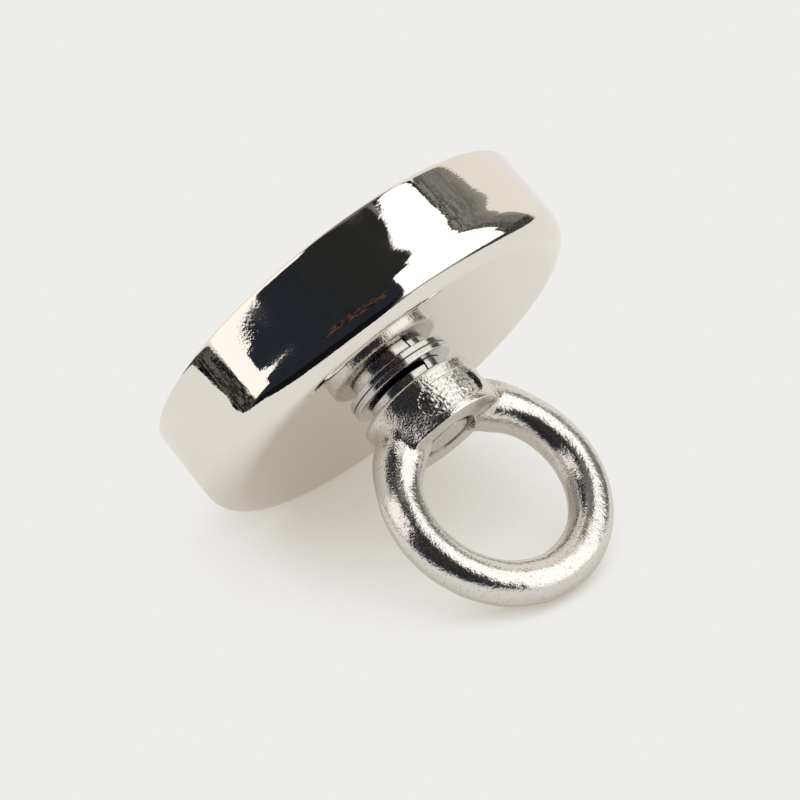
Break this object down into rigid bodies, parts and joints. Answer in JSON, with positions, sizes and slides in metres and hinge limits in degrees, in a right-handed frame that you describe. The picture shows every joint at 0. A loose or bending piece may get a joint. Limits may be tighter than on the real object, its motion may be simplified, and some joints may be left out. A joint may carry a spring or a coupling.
{
  "type": "magnet fishing magnet",
  "caption": "Round steel pot magnet with a countersunk through bolt, washers and an eye nut for a rope, for lifting iron out of water.",
  "frame": {"origin": "centre of the working face, in the plane of the pot's rim", "axes": "+Z along the bolt from the working face to the eye; X lies in the plane of the eye's ring and Y is square to it, the way the rope passes"},
  "size_m": [0.075, 0.075, 0.0644],
  "materials": {
    "nickel_plate": "bright nickel plate, mirror-like with a fine grain",
    "magnet_plate": "satin nickel plate",
    "resin": "cast black epoxy resin",
    "pole_steel": "turned and plated",
    "bolt_steel": "stainless, plain",
    "washer_steel": "stainless, punched and tumbled",
    "cast_stainless": "cast stainless steel, tumbled to a granular shine"
  },
  "bodies": {
    "pot": {"pot_cup": "nickel_plate", "ring_magnet": "magnet_plate", "outer_resin_ring": "resin", "inner_resin_ring": "resin", "centre_pole": "pole_steel", "countersunk_bolt": "bolt_steel", "flat_washer": "washer_steel"},
    "spring_washer": {"spring_washer": "washer_steel"},
    "eye_nut": {"eye_nut": "cast_stainless"}
  },
  "joints": [
    {"name": "eye_nut_lift", "type": "slide", "parent": "pot", "child": "spring_washer", "axis": [0, 0, 1], "range_m": [0, 0.0075]},
    {"name": "eye_nut_turn", "type": "hinge", "parent": "spring_washer", "child": "eye_nut", "pos_m": [0, 0, 0.0434], "axis": [0, 0, 1], "range_deg": [0, 1800]}
  ],
  "couplings": [
    {"joint": "eye_nut_lift", "follows": "eye_nut_turn", "m_per_rad": 0.00023873}
  ]
}
